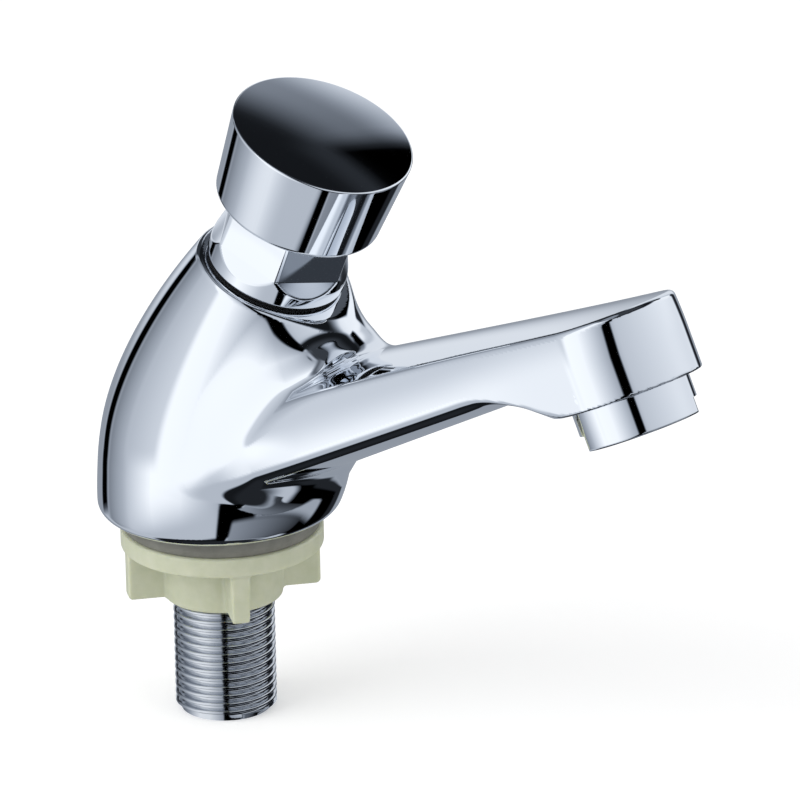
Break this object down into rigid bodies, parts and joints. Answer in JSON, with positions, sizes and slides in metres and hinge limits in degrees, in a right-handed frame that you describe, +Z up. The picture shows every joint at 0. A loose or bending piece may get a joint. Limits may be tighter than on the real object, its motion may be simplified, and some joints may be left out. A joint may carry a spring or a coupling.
{
  "type": "push timed tap",
  "caption": "Chromed push-button timed basin tap with a leaning column, straight spout and threaded tail with backnut.",
  "frame": {"origin": "on the axis of the threaded tail, at the underside of the body that sits on the basin's deck", "axes": "+X towards the spout's outlet, +Z up along the threaded tail"},
  "size_m": [0.1473, 0.0518, 0.1382],
  "materials": {
    "chrome_body": "polished chrome on cast brass",
    "chrome_tail": "chromed brass thread",
    "chrome_bonnet": "polished chrome on turned brass",
    "chrome_button": "polished chrome",
    "chrome_ring": "polished chrome on turned brass",
    "nut_plastic": "semi-matte ivory moulding",
    "base_rubber": "matte grey rubber",
    "black_rubber": "matte black rubber",
    "brass": "turned brass",
    "steel": "stainless steel",
    "white_plastic": "white moulding",
    "fibre": "red fibre"
  },
  "bodies": {
    "body": {"tap_body": "chrome_body", "inlet_tail": "chrome_tail", "tail_washer": "fibre", "inlet_strainer": "white_plastic", "base_gasket": "base_rubber", "bonnet_gasket": "black_rubber", "bonnet_nut": "chrome_bonnet", "return_spring": "steel", "cartridge_barrel": "white_plastic", "barrel_seal": "black_rubber", "seat_ring": "brass", "stem_seal": "black_rubber", "guide_bush": "white_plastic", "bush_clip": "steel", "outlet_ring": "chrome_ring", "outlet_gasket": "black_rubber", "outlet_grid": "white_plastic", "aerator_cage": "white_plastic", "aerator_screen": "steel"},
    "plunger": {"push_button": "chrome_button", "button_lock_nut": "brass", "spindle": "brass", "piston": "white_plastic", "piston_lip_seal": "black_rubber", "bleed_jet": "brass", "piston_clip": "steel", "valve_washer": "black_rubber", "valve_nut": "brass"},
    "nut": {"backnut": "nut_plastic"}
  },
  "joints": [
    {"name": "button_push", "type": "slide", "parent": "body", "child": "plunger", "axis": [-0.4051, 0, -0.9143], "range_m": [0, 0.005], "stiffness_N_per_m": 2500, "springref_m": -0.006, "deforming": ["return_spring"]},
    {"name": "nut_travel", "type": "slide", "parent": "body", "child": "nut", "axis": [0, 0, -1], "range_m": [0, 0.02]}
  ]
}
